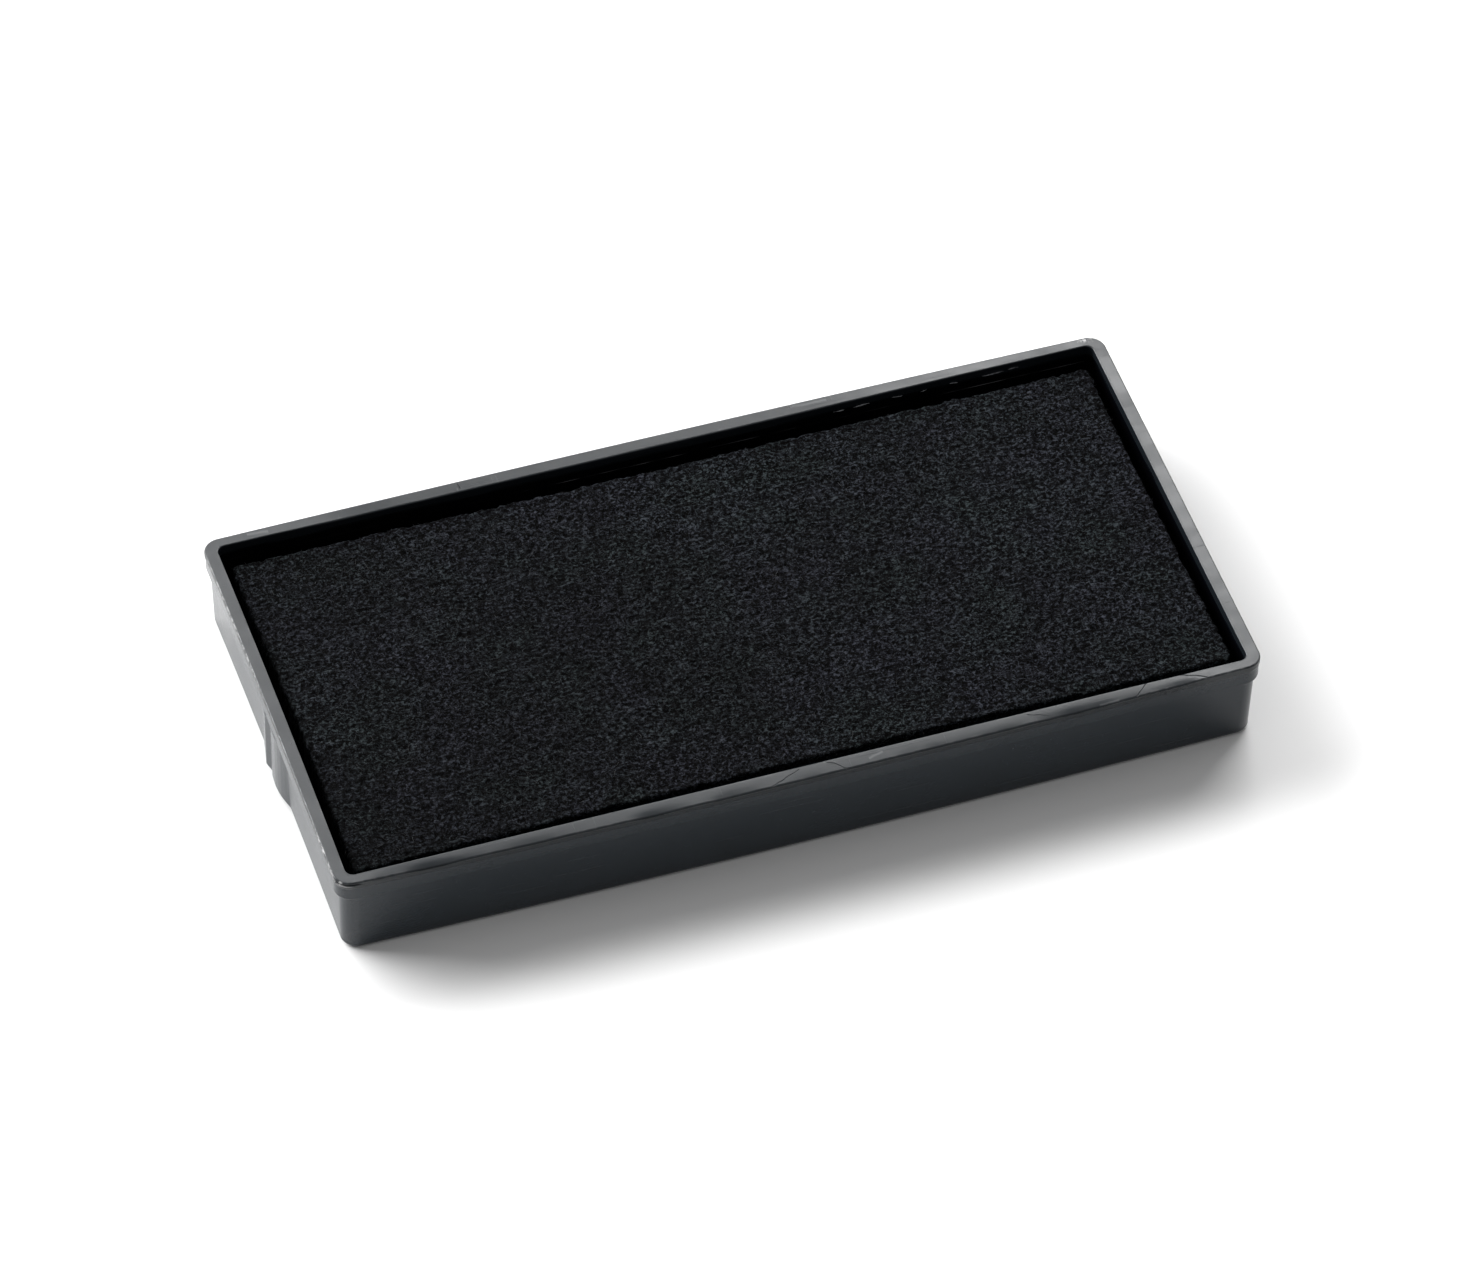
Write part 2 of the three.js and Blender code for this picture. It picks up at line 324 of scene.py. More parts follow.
# planar caps with holes, triangulated between their loops
def cap(loop_idx, z, up, holes):
    """Fills the loop with triangles, leaving round holes; returns the index loops of the holes."""
    pts = [Vector((verts[i][0], verts[i][1])) for i in loop_idx]
    ids = list(loop_idx)
    edges = [(i, (i + 1) % len(pts)) for i in range(len(pts))]
    hole_loops = []
    for (cx, cy, r, n) in holes:
        start = len(pts)
        loop = []
        for s in range(n):
            t = 2 * math.pi * s / n
            pts.append(Vector((cx + r * math.cos(t), cy + r * math.sin(t))))
            verts.append((cx + r * math.cos(t), cy + r * math.sin(t), z))
            zone.append(3)
            ids.append(len(verts) - 1)
            loop.append(len(verts) - 1)
        edges += [(start + s, start + (s + 1) % n) for s in range(n)]
        hole_loops.append(loop)
    # a few loose points keep the triangles from being needles
    lim_x = max(abs(p.x) for p in pts) - 2.0
    lim_y = max(abs(p.y) for p in pts) - 2.0
    for gx in np.arange(-lim_x, lim_x + 0.01, lim_x / 12):
        for gy in np.arange(-lim_y, lim_y + 0.01, lim_y / 6):
            if all((gx - cx) ** 2 + (gy - cy) ** 2 > (r + 0.8) ** 2 for cx, cy, r, _ in holes):
                pts.append(Vector((gx, gy)))
                verts.append((gx, gy, z)); zone.append(3)
                ids.append(len(verts) - 1)
    res = geometry.delaunay_2d_cdt(pts, edges, [], 0, 1e-6)
    ov, _, of_, orig_v = res[0], res[1], res[2], res[3]
    remap = [ids[o[0]] if o else None for o in orig_v]
    for f in of_:
        c = sum((ov[i] for i in f), Vector((0, 0))) / len(f)
        if any((c.x - cx) ** 2 + (c.y - cy) ** 2 < (r * 0.999) ** 2 * 0.998 for cx, cy, r, _ in holes):
            continue
        tri = [remap[i] for i in f]
        p = [ov[i] for i in f]
        area = sum(p[i].x * p[(i + 1) % 3].y - p[(i + 1) % 3].x * p[i].y for i in range(3))
        if (area > 0) != up:
            tri.reverse()
        faces.append(tuple(tri))
    return hole_loops


def dish(loop, cx, cy, steps, up=False):
    """Continues a hole's loop through (radius, z) steps and closes it with a fan."""
    n = len(loop)
    prev = loop
    for (r, z) in steps:
        cur = []
        for s in range(n):
            t = 2 * math.pi * s / n
            verts.append((cx + r * math.cos(t), cy + r * math.sin(t), z)); zone.append(3)
            cur.append(len(verts) - 1)
        for s in range(n):
            u = (s + 1) % n
            faces.append((prev[s], cur[s], cur[u], prev[u]) if not up else (prev[s], prev[u], cur[u], cur[s]))
        prev = cur
    verts.append((cx, cy, steps[-1][1])); zone.append(3)
    c = len(verts) - 1
    for s in range(n):
        u = (s + 1) % n
        faces.append((prev[s], c, prev[u]) if not up else (prev[s], prev[u], c))


# underside: gate dish in the middle, six ejector pin marks
PINS = [(sx * 30.0, sy * 13.0) for sx in (-1, 1) for sy in (-1, 1)] + [(0.0, 13.0), (0.0, -13.0)]
holes = [(0.0, 0.0, 2.6, 48)] + [(x, y, 2.0, 40) for x, y in PINS]
loops = cap(list(range(NP)), 0.0, False, holes)
dish(loops[0], 0, 0, [(2.57, 0.03), (2.52, 0.10), (2.48, 0.26), (2.42, 0.32), (2.30, 0.35), (1.2, 0.35), (0.80, 0.35),
                      (0.72, 0.33), (0.69, 0.28), (0.66, 0.19), (0.60, 0.155), (0.45, 0.16), (0.2, 0.185)])
for (x, y), lp in zip(PINS, loops[1:]):
    dish(lp, x, y, [(1.985, 0.012), (1.96, 0.04), (1.93, 0.05), (1.80, 0.05), (1.0, 0.047)])
# inside floor, out of sight under the felt
floor_loop = [(NR - 1) * NP + i for i in range(NP)]
cap(floor_loop, FLOOR, True, [])

tray = new_mesh("tray_shell", np.array(verts) * MM, faces)
VA = np.array(verts)
ZN = np.array(zone)

# masks for worn edges (with a painted highlight along the inner edge of the -X rim) and for ink, held on the vertices
pad = len(VA) - len(OO)
ov = np.concatenate([OO, np.full(pad, 9.0)])
zr = VA[:, 2]
rimmish = (ZN <= 1) & (zr > HT - 0.4)
edge = np.exp(-((zr - (HT - 0.05)) / 0.09) ** 2) * np.exp(-((ov - 0.05) / 0.10) ** 2) * rimmish
edge = edge + 0.5 * np.exp(-((zr - zc) / 0.07) ** 2) * (np.abs(VA[:, 0]) > HL - 0.35) * (ZN == 0)
edge = edge + 0.6 * np.exp(-((zr - 0.12) / 0.12) ** 2) * (ZN == 0)
# painted highlight: a lighter line along the inner edge of the -X rim
edge = edge + 0.6 * np.exp(-((ov - (WALL - 0.09)) / 0.06) ** 2) * rimmish * (VA[:, 0] < -HL + 1.6)
point_attribute(tray, "wear_and_highlight", np.clip(edge, 0, 1))
# white stress marks mixed with a painted highlight along the outer edge of the -X rim near its front corner, and a
# white stress mark on the back right corner
left_edge_marks_and_highlight = np.exp(-((ov - 0.04) / 0.06) ** 2) * rimmish * (VA[:, 0] < -HL + 0.5)
along = np.clip((-12.5 - VA[:, 1]) / 3.0, 0, 1) + 0.45 * np.clip((10.0 - np.abs(VA[:, 1] - 10.0)) / 6.0, 0, 1) + 0.12
corner_spot = np.exp(-((VA[:, 0] - 38.75) / 0.50) ** 2 - ((VA[:, 1] - 19.72) / 0.22) ** 2) * (zr > HT - 0.25)
point_attribute(tray, "stress_marks_and_highlight", np.clip(left_edge_marks_and_highlight * along + 1.4 * corner_spot, 0, 1.5))
ye, ze = VA[:, 1], VA[:, 2]


def blot(y0, z0, wy, wz, slant=0.0):
    return np.exp(-((ye - y0 - slant * (ze - z0)) / wy) ** 2 - ((ze - z0) / wz) ** 2)


# painted highlight: lighter blots of glare over the -X end face, strongest near its top back corner, weaker in a
# diagonal patch low near y = 11
painted_glare = (0.9 * blot(17.5, 6.9, 2.6, 1.6) + 0.55 * blot(13.0, 7.0, 3.0, 1.0) + 0.45 * blot(8.5, 7.2, 2.4, 0.8) + 0.5 * blot(16.0, 3.5, 2.2, 2.4, 0.5)
        + 0.35 * blot(-5.5, 6.9, 2.0, 1.0) + 0.45 * blot(-9.0, 6.7, 2.2, 0.8, -0.6) + 0.25 * blot(-12.5, 4.0, 1.6, 1.6)
        + 0.30 * blot(6.6, 5.5, 0.9, 1.4) - 0.40 * blot(10.8, 3.8, 1.5, 1.7, 0.7))
painted_glare = painted_glare - 0.05 + 0.35 * fbm(VA * np.array([1, 1, 0.6]), 1 / 2.4, 3, seed=91)
# painted highlight: a pale line on the lip under the groove at the front -X corner
painted_lip_highlight = np.exp(-(np.clip(VA[:, 0] + HL - 0.3, 0, None) / 0.9) ** 4) * np.exp(-(np.clip(VA[:, 1] + HWC - 0.3, 0, None) / 0.45) ** 4)
painted_lip_highlight = painted_lip_highlight * np.exp(-((zr - 8.10) / 0.045) ** 2) * (ZN == 0)
point_attribute(tray, "painted_lip_highlight", np.clip(1.2 * painted_lip_highlight, 0, 1))
point_attribute(tray, "tide_ridge_and_highlight", np.concatenate([tide_ridge_and_highlight * np.clip(0.35 + 1.3 * fbm(V, 1 / 1.6, 3, seed=101), 0, 1), np.zeros(pad)]))
point_attribute(tray, "painted_glare", np.clip(painted_glare, 0, 1.2) * (VA[:, 0] < -HL + 1.2) * (ZN == 0))
# painted light: marks the outer walls below the rim, which get a lighter base colour than the rim
point_attribute(tray, "wall", ((ZN == 0) & (zr < 7.8)).astype(float))
ink_top = 7.62 + 0.28 * fbm(VA * np.array([1, 1, 0.2]), 1 / 4.0, 3, seed=21)
ink = (ZN == 2) * np.clip((ink_top - zr) / 0.12, 0, 1)
point_attribute(tray, "ink", ink)
point_attribute(tray, "rim", (ZN == 1).astype(float))


# ------------------------------------------------------------------ the felt
STEP = 0.17
nu, nv = int(round(2 * FHX / STEP)), int(round(2 * FHY / STEP))
gx = np.linspace(-1, 1, nu + 1)
gy = np.linspace(-1, 1, nv + 1)
GX, GY = np.meshgrid(gx, gy, indexing="ij")
# the block was cut a little out of true: half sizes along its four sides, with flared corners
OUT_B = ([-38, -30, -20, -10, 0, 10, 20, 30, 38], [17.62, 17.58, 17.56, 17.42, 17.39, 17.48, 17.56, 17.52, 17.60])
OUT_F = ([-38, -34, -26, -18, -10, 0, 10, 18, 26, 38], [17.78, 17.74, 17.62, 17.50, 17.42, 17.38, 17.32, 17.34, 17.54, 17.62])
OUT_L = ([-18, -15, -9, -3, 3, 9, 15, 18], [37.82, 37.76, 37.66, 37.62, 37.67, 37.78, 37.88, 37.92])
OUT_R = ([-18, -15, -9, -3, 3, 9, 15, 18], [38.00, 37.96, 37.88, 37.88, 37.83, 37.81, 37.90, 37.94])
FAR = 0.05                                   # far sides look shorter than they are by their soft shoulder


def side_x(x, y):
    left = -np.interp(y, *OUT_L) - 0.02
    right = np.interp(y, *OUT_R) + FAR
    return left, right


def side_y(x, y):
    front = -np.interp(x, *OUT_F) - 0.02
    back = np.interp(x, *OUT_B) + FAR
    return front, back


u, v = GX, GY
l_, r_ = side_x(u * 37.8, v * 17.5)
f_, b_ = side_y(u * 37.8, v * 17.5)
px = (l_ + r_) / 2 + u * (r_ - l_) / 2
py = (f_ + b_) / 2 + v * (b_ - f_) / 2
RC = 0.38                                    # corner radius of the block
RCF = 0.85                                   # and of its rubbed front right corner
ex = (1 - np.abs(u)) * (r_ - l_) / 2
ey = (1 - np.abs(v)) * (b_ - f_) / 2
rc = np.where((u > 0) & (v < 0), RCF, RC)
cu, cv = np.clip(1 - ex / rc, 0, 1), np.clip(1 - ey / rc, 0, 1)
in_c = (cu > 0) & (cv > 0)
px = np.where(in_c, px - np.sign(u) * rc * cu * (1 - np.sqrt(1 - cv * cv / 2)), px)
py = np.where(in_c, py - np.sign(v) * rc * cv * (1 - np.sqrt(1 - cu * cu / 2)), py)
corner = np.hypot(np.clip(rc - ex, 0, None), np.clip(rc - ey, 0, None))
dist = np.where(in_c, rc - np.minimum(corner, rc), np.minimum(ex, ey))
dist = np.clip(dist, 0, None)
P2 = np.c_[px.ravel(), py.ravel(), np.zeros(px.size)]
# the cut edge frays in tufts
wander = 0.06 * fbm(P2, 1 / 2.6, 2, seed=41) + 0.11 * fbm(P2, 1 / 0.70, 2, seed=43) + 0.07 * noise3(P2, 1 / 0.33, seed=45)
fall = np.exp(-(dist.ravel() / 0.45))
dirx = np.where(ex.ravel() <= ey.ravel() + 1e-9, np.sign(u.ravel()), 0.0)
diry = np.where(ey.ravel() < ex.ravel(), np.sign(v.ravel()), 0.0)
QX = px.ravel() + dirx * fall * wander
QY = py.ravel() + diry * fall * wander
QX = np.clip(QX, -MHX + 0.25, MHX - 0.25)
QY = np.clip(QY, -MHY + 0.25, MHY - 0.25)
P2 = np.c_[QX, QY, np.zeros(QX.size)]
relief = (0.060 * fbm(P2, 1 / 0.60, 2, seed=51) + 0.080 * noise3(P2 * np.array([1, 1.25, 1]), 1 / 0.38, seed=53)
          + 0.040 * fbm(P2, 1 / 2.2, 2, seed=55) + 0.05 * fbm(P2, 1 / 12.0, 2, seed=57))
shoulder = 0.09 * (1 - np.sqrt(np.clip(1 - (1 - np.clip(dist.ravel() / 0.17, 0, 1)) ** 2, 0, 1)))
QZ = FZ1 - 0.09 + relief - shoulder
QZ = np.minimum(QZ, FZ1 + 0.03)
top = np.c_[QX, QY, QZ]
idx = np.arange(top.shape[0]).reshape(nu + 1, nv + 1)
ff = []
for i in range(nu):
    for j in range(nv):
        ff.append((idx[i, j], idx[i + 1, j], idx[i + 1, j + 1], idx[i, j + 1]))
border = np.concatenate([idx[:, 0], idx[-1, 1:], idx[-2::-1, -1], idx[0, -2:0:-1]])
allv = [top]
prev = border
count = len(top)
bx, by = top[border, 0], top[border, 1]
nb = len(border)
zt = top[border, 2]
levels = [0.97, 0.9, 0.8, 0.68, 0.55, 0.4, 0.25, 0.12, 0.04, 0.0]
for li, t in enumerate(levels):
    z = FZ0 + (zt - 0.05 - FZ0) * t
    pp = np.c_[bx, by, z]
    w = 0.10 * fbm(pp, 1 / 1.0, 2, seed=61)
    dxn, dyn = np.sign(bx) * (np.abs(bx) > FHX - 0.9), np.sign(by) * (np.abs(by) > FHY - 0.9)
    pinch = 0.04 + (0.25 if t == 0.0 else 0.0)
    lim = 0.32 + INNER_DRAFT * (HT - z)
    x2 = np.clip(bx + dxn * (w - pinch), -MHX + lim, MHX - lim)
    y2 = np.clip(by + dyn * (w - pinch), -MHY + lim, MHY - lim)
    allv.append(np.c_[x2, y2, z])
    cur = count + np.arange(nb)
    for i in range(nb):
        j = (i + 1) % nb
        ff.append((int(prev[j]), int(prev[i]), int(cur[i]), int(cur[j])))
    prev = cur
    count += nb
# closed underside
bot = np.array([[0, 0, FZ0]])
allv.append(bot)
c = count
for i in range(nb):
    j = (i + 1) % nb
    ff.append((int(prev[j]), int(prev[i]), c))
FV = np.concatenate(allv)
felt = new_mesh("felt_block", FV * MM, [tuple(int(q) for q in f) for f in ff])

# loose fibres lying on the felt and standing out of its edges
fv, fc = [], []


def fibre(p0, ang, length, lift, curl, r, n=6):
    pts = []
    p = np.array(p0, float)
    a = ang
    up = lift
    for s in range(n + 1):
        pts.append(p.copy())
        step = length / n
        p = p + np.array([math.cos(a) * step, math.sin(a) * step, up * step])
        a += curl * rng.normal()
        up = up * 0.55 - 0.10
    pts = np.array(pts)
    base = len(fv)
    for s, q in enumerate(pts):
        d = pts[min(s + 1, n)] - pts[max(s - 1, 0)]
        d /= np.linalg.norm(d) + 1e-12
        u = np.cross(d, [0, 0, 1.0]); u /= np.linalg.norm(u) + 1e-12
        w = np.cross(d, u)
        rr = r * (1 - 0.6 * s / n)
        for t in (0, 2 * math.pi / 3, 4 * math.pi / 3):
            fv.append(tuple(q + rr * (math.cos(t) * u + math.sin(t) * w)))
    for s in range(n):
        for t in range(3):
            a0, b0 = base + s * 3 + t, base + s * 3 + (t + 1) % 3
            fc.append((a0, b0, b0 + 3, a0 + 3))
    fc.append((base + 2, base + 1, base))
    e = base + n * 3
    fc.append((e, e + 1, e + 2))


N_TOP, N_EDGE = 1100, 420
pick = rng.integers(0, len(top), N_TOP)
for i in pick:
    x, y, z = top[i]
    if abs(x) > FHX - 1.0 or abs(y) > FHY - 1.0:
        continue
    fibre((x, y, z + 0.005), rng.uniform(0, 2 * math.pi), rng.uniform(0.5, 1.5), rng.uniform(0.02, 0.16), 0.5, rng.uniform(0.010, 0.017))
pick = rng.integers(0, nb, N_EDGE)
for i in pick:
    x, y, z = top[border[i]]
    out_x, out_y = (np.sign(x), 0) if FHX - abs(x) < FHY - abs(y) else (0, np.sign(y))
    a = math.atan2(out_y, out_x) + rng.normal() * 0.7
    fibre((x - 0.1 * out_x, y - 0.1 * out_y, z - rng.uniform(0.0, 0.3)), a, rng.uniform(0.2, 0.5), rng.uniform(-0.1, 0.35), 0.45, rng.uniform(0.010, 0.016), n=5)
FB = np.array(fv)
FB[:, 0] = np.clip(FB[:, 0], -FHX - 0.35, FHX + 0.35)
FB[:, 1] = np.clip(FB[:, 1], -FHY - 0.35, FHY + 0.35)
FB[:, 2] = np.minimum(FB[:, 2], FZ1 + 0.12)
fibres = new_mesh("felt_fibres", FB * MM, fc)

# ------------------------------------------------- foam film under the felt
fx, fy = film_hi.x / MM, film_hi.y / MM
z0, z1 = film_lo.z / MM, film_hi.z / MM
n1, n2 = 70, 30
gxs, gys = np.linspace(-fx, fx, n1 + 1), np.linspace(-fy, fy, n2 + 1)
MX, MY = np.meshgrid(gxs, gys, indexing="ij")
W2 = np.c_[MX.ravel(), MY.ravel(), np.zeros(MX.size)]
edge_in = np.minimum(fx - np.abs(MX), fy - np.abs(MY)).ravel()
bulge = 0.03 * (edge_in < 1e-6)
zt = z1 - 0.012 - bulge + 0.010 * fbm(W2, 1 / 2.5, 2, seed=71)
zb = z0 + 0.012 + bulge + 0.010 * fbm(W2, 1 / 2.5, 2, seed=73)
A = np.c_[W2[:, 0], W2[:, 1], zt]
B = np.c_[W2[:, 0], W2[:, 1], zb]
fi = np.arange(A.shape[0]).reshape(n1 + 1, n2 + 1)
off = A.shape[0]
mf = []
for i in range(n1):
    for j in range(n2):
        q = (fi[i, j], fi[i + 1, j], fi[i + 1, j + 1], fi[i, j + 1])
        mf.append(tuple(int(v) for v in q))
        mf.append(tuple(int(v) + off for v in q[::-1]))
rim_loop = np.concatenate([fi[:, 0], fi[-1, 1:], fi[-2::-1, -1], fi[0, -2:0:-1]])
for k in range(len(rim_loop)):
    a0, b0 = int(rim_loop[k]), int(rim_loop[(k + 1) % len(rim_loop)])
    mf.append((b0, a0, a0 + off, b0 + off))
film = new_mesh("foam_film", np.concatenate([A, B]) * MM, mf)

# beads of dried ink clinging to the inner face of the back wall, coloured pale as a painted highlight
bv, bf = [], []
for bx0, bx1, bz, br in ((15.5, 16.6, 7.62, 0.045), (17.3, 18.9, 7.66, 0.055), (20.8, 21.8, 7.70, 0.050), (23.4, 24.0, 7.66, 0.040),
                         (26.0, 26.8, 7.74, 0.050), (28.9, 31.0, 7.80, 0.060), (31.3, 32.3, 7.86, 0.055)):
    n_st, n_rd = 12, 10
    base_i = len(bv)
    bv.append((bx0, MHY - 0.055, bz))
    for i in range(1, n_st):
        t = i / n_st
        rr = br * math.sqrt(math.sin(math.pi * t)) * (0.85 + 0.3 * math.sin(7.0 * t + bx0))
        for j in range(n_rd):
            w = 2 * math.pi * j / n_rd
            bv.append((bx0 + (bx1 - bx0) * t, MHY - 0.075 + 0.8 * rr * math.cos(w), bz + 0.05 * math.sin(3.1 * t + bx0) + rr * math.sin(w)))
    bv.append((bx1, MHY - 0.055, bz))
    tip = len(bv) - 1
    for j in range(n_rd):
        k = (j + 1) % n_rd
        bf.append((base_i, base_i + 1 + k, base_i + 1 + j))
        for i in range(n_st - 2):
            p, q = base_i + 1 + i * n_rd, base_i + 1 + (i + 1) * n_rd
            bf.append((p + j, p + k, q + k, q + j))
        bf.append((tip, tip - n_rd + j, tip - n_rd + k))
beads = new_mesh("ink_beads", np.array(bv) * MM, bf)


# ---------------------------------------------------------------- materials
def material(name):
    m = bpy.data.materials.new(name)
    m.use_nodes = True
    nt = m.node_tree
    for n in list(nt.nodes):
        nt.nodes.remove(n)
    o = nt.nodes.new("ShaderNodeOutputMaterial")
    b = nt.nodes.new("ShaderNodeBsdfPrincipled")
    nt.links.new(b.outputs[0], o.inputs[0])
    return m, nt, b


def node(nt, kind, **sets):
    n = nt.nodes.new(kind)
    for k, v in sets.items():
        if k.startswith("in_"):
            key = k[3:]
            n.inputs[int(key) if key.isdigit() else key].default_value = v
        else:
            setattr(n, k, v)
    return n


def tex_noise(nt, vec, scale, detail=2.0, rough=0.5, dist=0.0):
    n = node(nt, "ShaderNodeTexNoise")
    n.inputs["Scale"].default_value = scale
    n.inputs["Detail"].default_value = detail
    n.inputs["Roughness"].default_value = rough
    n.inputs["Distortion"].default_value = dist
    nt.links.new(vec, n.inputs["Vector"])
    return n.outputs["Fac"]


def ramp(nt, fac, stops):
    n = node(nt, "ShaderNodeValToRGB")
    els = n.color_ramp.elements
    while len(els) > len(stops):
        els.remove(els[-1])
    while len(els) < len(stops):
        els.new(0.5)
    for e, (p, c) in zip(els, stops):
        e.position = p
        e.color = (c, c, c, 1) if isinstance(c, (int, float)) else (*c, 1)
    nt.links.new(fac, n.inputs[0])
    return n.outputs[0]


def math_n(nt, op, a, b=None, clamp=False):
    n = node(nt, "ShaderNodeMath", operation=op, use_clamp=clamp)
    for i, v in enumerate((a, b)):
        if v is None:
            continue
        if isinstance(v, (int, float)):
            n.inputs[i].default_value = v
        else:
            nt.links.new(v, n.inputs[i])
    return n.outputs[0]


def mix_c(nt, fac, a, b):
    n = node(nt, "ShaderNodeMix", data_type="RGBA")
    if isinstance(fac, (int, float)):
        n.inputs[0].default_value = fac
    else:
        nt.links.new(fac, n.inputs[0])
    for i, v in ((6, a), (7, b)):
        if isinstance(v, tuple):
            n.inputs[i].default_value = (*v, 1)
        else:
            nt.links.new(v, n.inputs[i])
    return n.outputs[2]


def mapped(nt, vec, scale=(1, 1, 1), rot=(0, 0, 0), loc=(0, 0, 0)):
    n = node(nt, "ShaderNodeMapping")
    n.inputs["Scale"].default_value = scale
    n.inputs["Rotation"].default_value = rot
    n.inputs["Location"].default_value = loc
    nt.links.new(vec, n.inputs["Vector"])
    return n.outputs[0]


def bump(nt, height, dist, strength=1.0, normal=None):
    n = node(nt, "ShaderNodeBump")
    n.inputs["Strength"].default_value = strength
    n.inputs["Distance"].default_value = dist
    nt.links.new(height, n.inputs["Height"])
    if normal is not None:
        nt.links.new(normal, n.inputs["Normal"])
    return n.outputs[0]


def attr(nt, name):
    n = node(nt, "ShaderNodeAttribute", attribute_name=name)
    return n.outputs["Fac"]


# black moulded plastic
m_tray, nt, b = material("black_moulded_plastic")
co = node(nt, "ShaderNodeTexCoord").outputs["Object"]
wear_and_highlight, inkm, rimm = attr(nt, "wear_and_highlight"), attr(nt, "ink"), attr(nt, "rim")
broad = tex_noise(nt, co, 110, 3, 0.55)
mid = tex_noise(nt, co, 900, 4, 0.6)
fine = tex_noise(nt, co, 7000, 2, 0.6)
scr1 = tex_noise(nt, mapped(nt, co, (70, 5200, 5200), (0, 0, 0.22)), 1.0, 1, 0.5)
scr2 = tex_noise(nt, mapped(nt, co, (90, 6500, 6500), (0.3, 0.2, -0.75), (3.1, 1.7, 0.4)), 1.0, 1, 0.5)
scr3 = tex_noise(nt, mapped(nt, co, (4200, 60, 4200), (0.1, 0.0, 0.35), (7.3, 0.2, 1.4)), 1.0, 1, 0.5)
line1 = ramp(nt, scr1, [(0.0, 0.0), (0.735, 0.0), (0.765, 1.0), (1.0, 1.0)])
line2 = ramp(nt, scr2, [(0.0, 0.0), (0.745, 0.0), (0.775, 1.0), (1.0, 1.0)])
line3 = ramp(nt, scr3, [(0.0, 0.0), (0.740, 0.0), (0.770, 1.0), (1.0, 1.0)])
lines = math_n(nt, "MAXIMUM", math_n(nt, "MAXIMUM", line1, line2), line3)
scuff_n = tex_noise(nt, co, 1700, 4, 0.65)
scuff_and_highlight = math_n(nt, "MULTIPLY", wear_and_highlight, ramp(nt, scuff_n, [(0.0, 0.0), (0.46, 0.0), (0.62, 1.0), (1.0, 1.0)]))
chalk_n = tex_noise(nt, mapped(nt, co, (2600, 1500, 2600)), 1.0, 4, 0.7)
stress_marks_and_highlight = math_n(nt, "MULTIPLY", attr(nt, "stress_marks_and_highlight"), ramp(nt, chalk_n, [(0.0, 0.0), (0.47, 0.0), (0.58, 1.0), (1.0, 1.0)]), clamp=True)


def stroke(nt, co, x0, y0, x1, y1, half):
    """A fine scratch on the rim from (x0, y0) to (x1, y1), millimetres; 1 on its line, 0 away from it."""
    d = Vector((x1 - x0, y1 - y0, 0)); length = d.length * MM; d.normalize()
    rel = node(nt, "ShaderNodeVectorMath", operation="SUBTRACT")
    nt.links.new(co, rel.inputs[0]); rel.inputs[1].default_value = (x0 * MM, y0 * MM, HT * MM)
    outs = []
    for v in ((d.x, d.y, 0), (-d.y, d.x, 0)):
        q = node(nt, "ShaderNodeVectorMath", operation="DOT_PRODUCT")
        nt.links.new(rel.outputs[0], q.inputs[0]); q.inputs[1].default_value = v
        outs.append(q.outputs["Value"])
    t, n = outs
    bend = math_n(nt, "MULTIPLY", math_n(nt, "SUBTRACT", tex_noise(nt, co, 900, 2, 0.5), 0.5), 0.00035)
    n = math_n(nt, "ABSOLUTE", math_n(nt, "ADD", n, bend))
    near = math_n(nt, "SUBTRACT", 1.0, math_n(nt, "DIVIDE", n, half * MM), clamp=True)
    ends = math_n(nt, "MULTIPLY", math_n(nt, "GREATER_THAN", t, 0.0), math_n(nt, "LESS_THAN", t, length))
    return math_n(nt, "MULTIPLY", near, ends)


hair = None
for seg in ((1.8, -19.2, 2.7, -19.7, 0.05), (2.7, -19.7, 3.6, -20.5, 0.05), (28.6, -20.1, 29.9, -19.1, 0.05), (32.8, -19.1, 33.9, -19.45, 0.055),
            (33.9, -19.45, 35.0, -20.1, 0.055), (-3.1, -20.3, -1.8, -19.85, 0.045), (-1.8, -19.85, -0.4, -19.3, 0.045),
            (-17.5, 19.9, -17.45, 19.4, 0.06), (19.3, -19.3, 20.9, -19.9, 0.045)):
    m = stroke(nt, co, *seg)
    hair = m if hair is None else math_n(nt, "MAXIMUM", hair, m)
pale = None
for seg in ((1.7, -19.15, 1.95, -19.3, 0.10), (25.4, -20.15, 27.1, -20.05, 0.12), (33.4, -19.45, 34.9, -20.15, 0.10), (5.4, -19.9, 6.7, -19.6, 0.16),
            (-36.0, 19.7, -34.2, 19.5, 0.22), (12.0, 19.9, 15.2, 19.8, 0.20)):
    m = stroke(nt, co, *seg)
    pale = m if pale is None else math_n(nt, "MAXIMUM", pale, m)
hair = math_n(nt, "MULTIPLY", hair, rimm)
pale = math_n(nt, "MULTIPLY", pale, rimm)
rim_n = tex_noise(nt, mapped(nt, co, (230, 420, 420)), 1.0, 3, 0.6)
rim_m = ramp(nt, rim_n, [(0.0, 0.0), (0.38, 0.0), (0.66, 1.0), (1.0, 1.0)])
wallm = attr(nt, "wall")
base = mix_c(nt, ramp(nt, broad, [(0.3, 0.0), (0.7, 1.0)]), (0.0062, 0.0088, 0.0115), (0.0088, 0.0118, 0.0148))
# painted light: the outer walls get a lighter base colour than the rim to brighten them
base = mix_c(nt, wallm, base, mix_c(nt, ramp(nt, broad, [(0.3, 0.0), (0.7, 1.0)]), (0.0125, 0.0175, 0.0230), (0.0160, 0.0215, 0.0275)))
# painted highlight: pale glare on the -X end face
base = mix_c(nt, math_n(nt, "MULTIPLY", attr(nt, "painted_glare"), 0.40, clamp=True), base, (0.17, 0.17, 0.172))
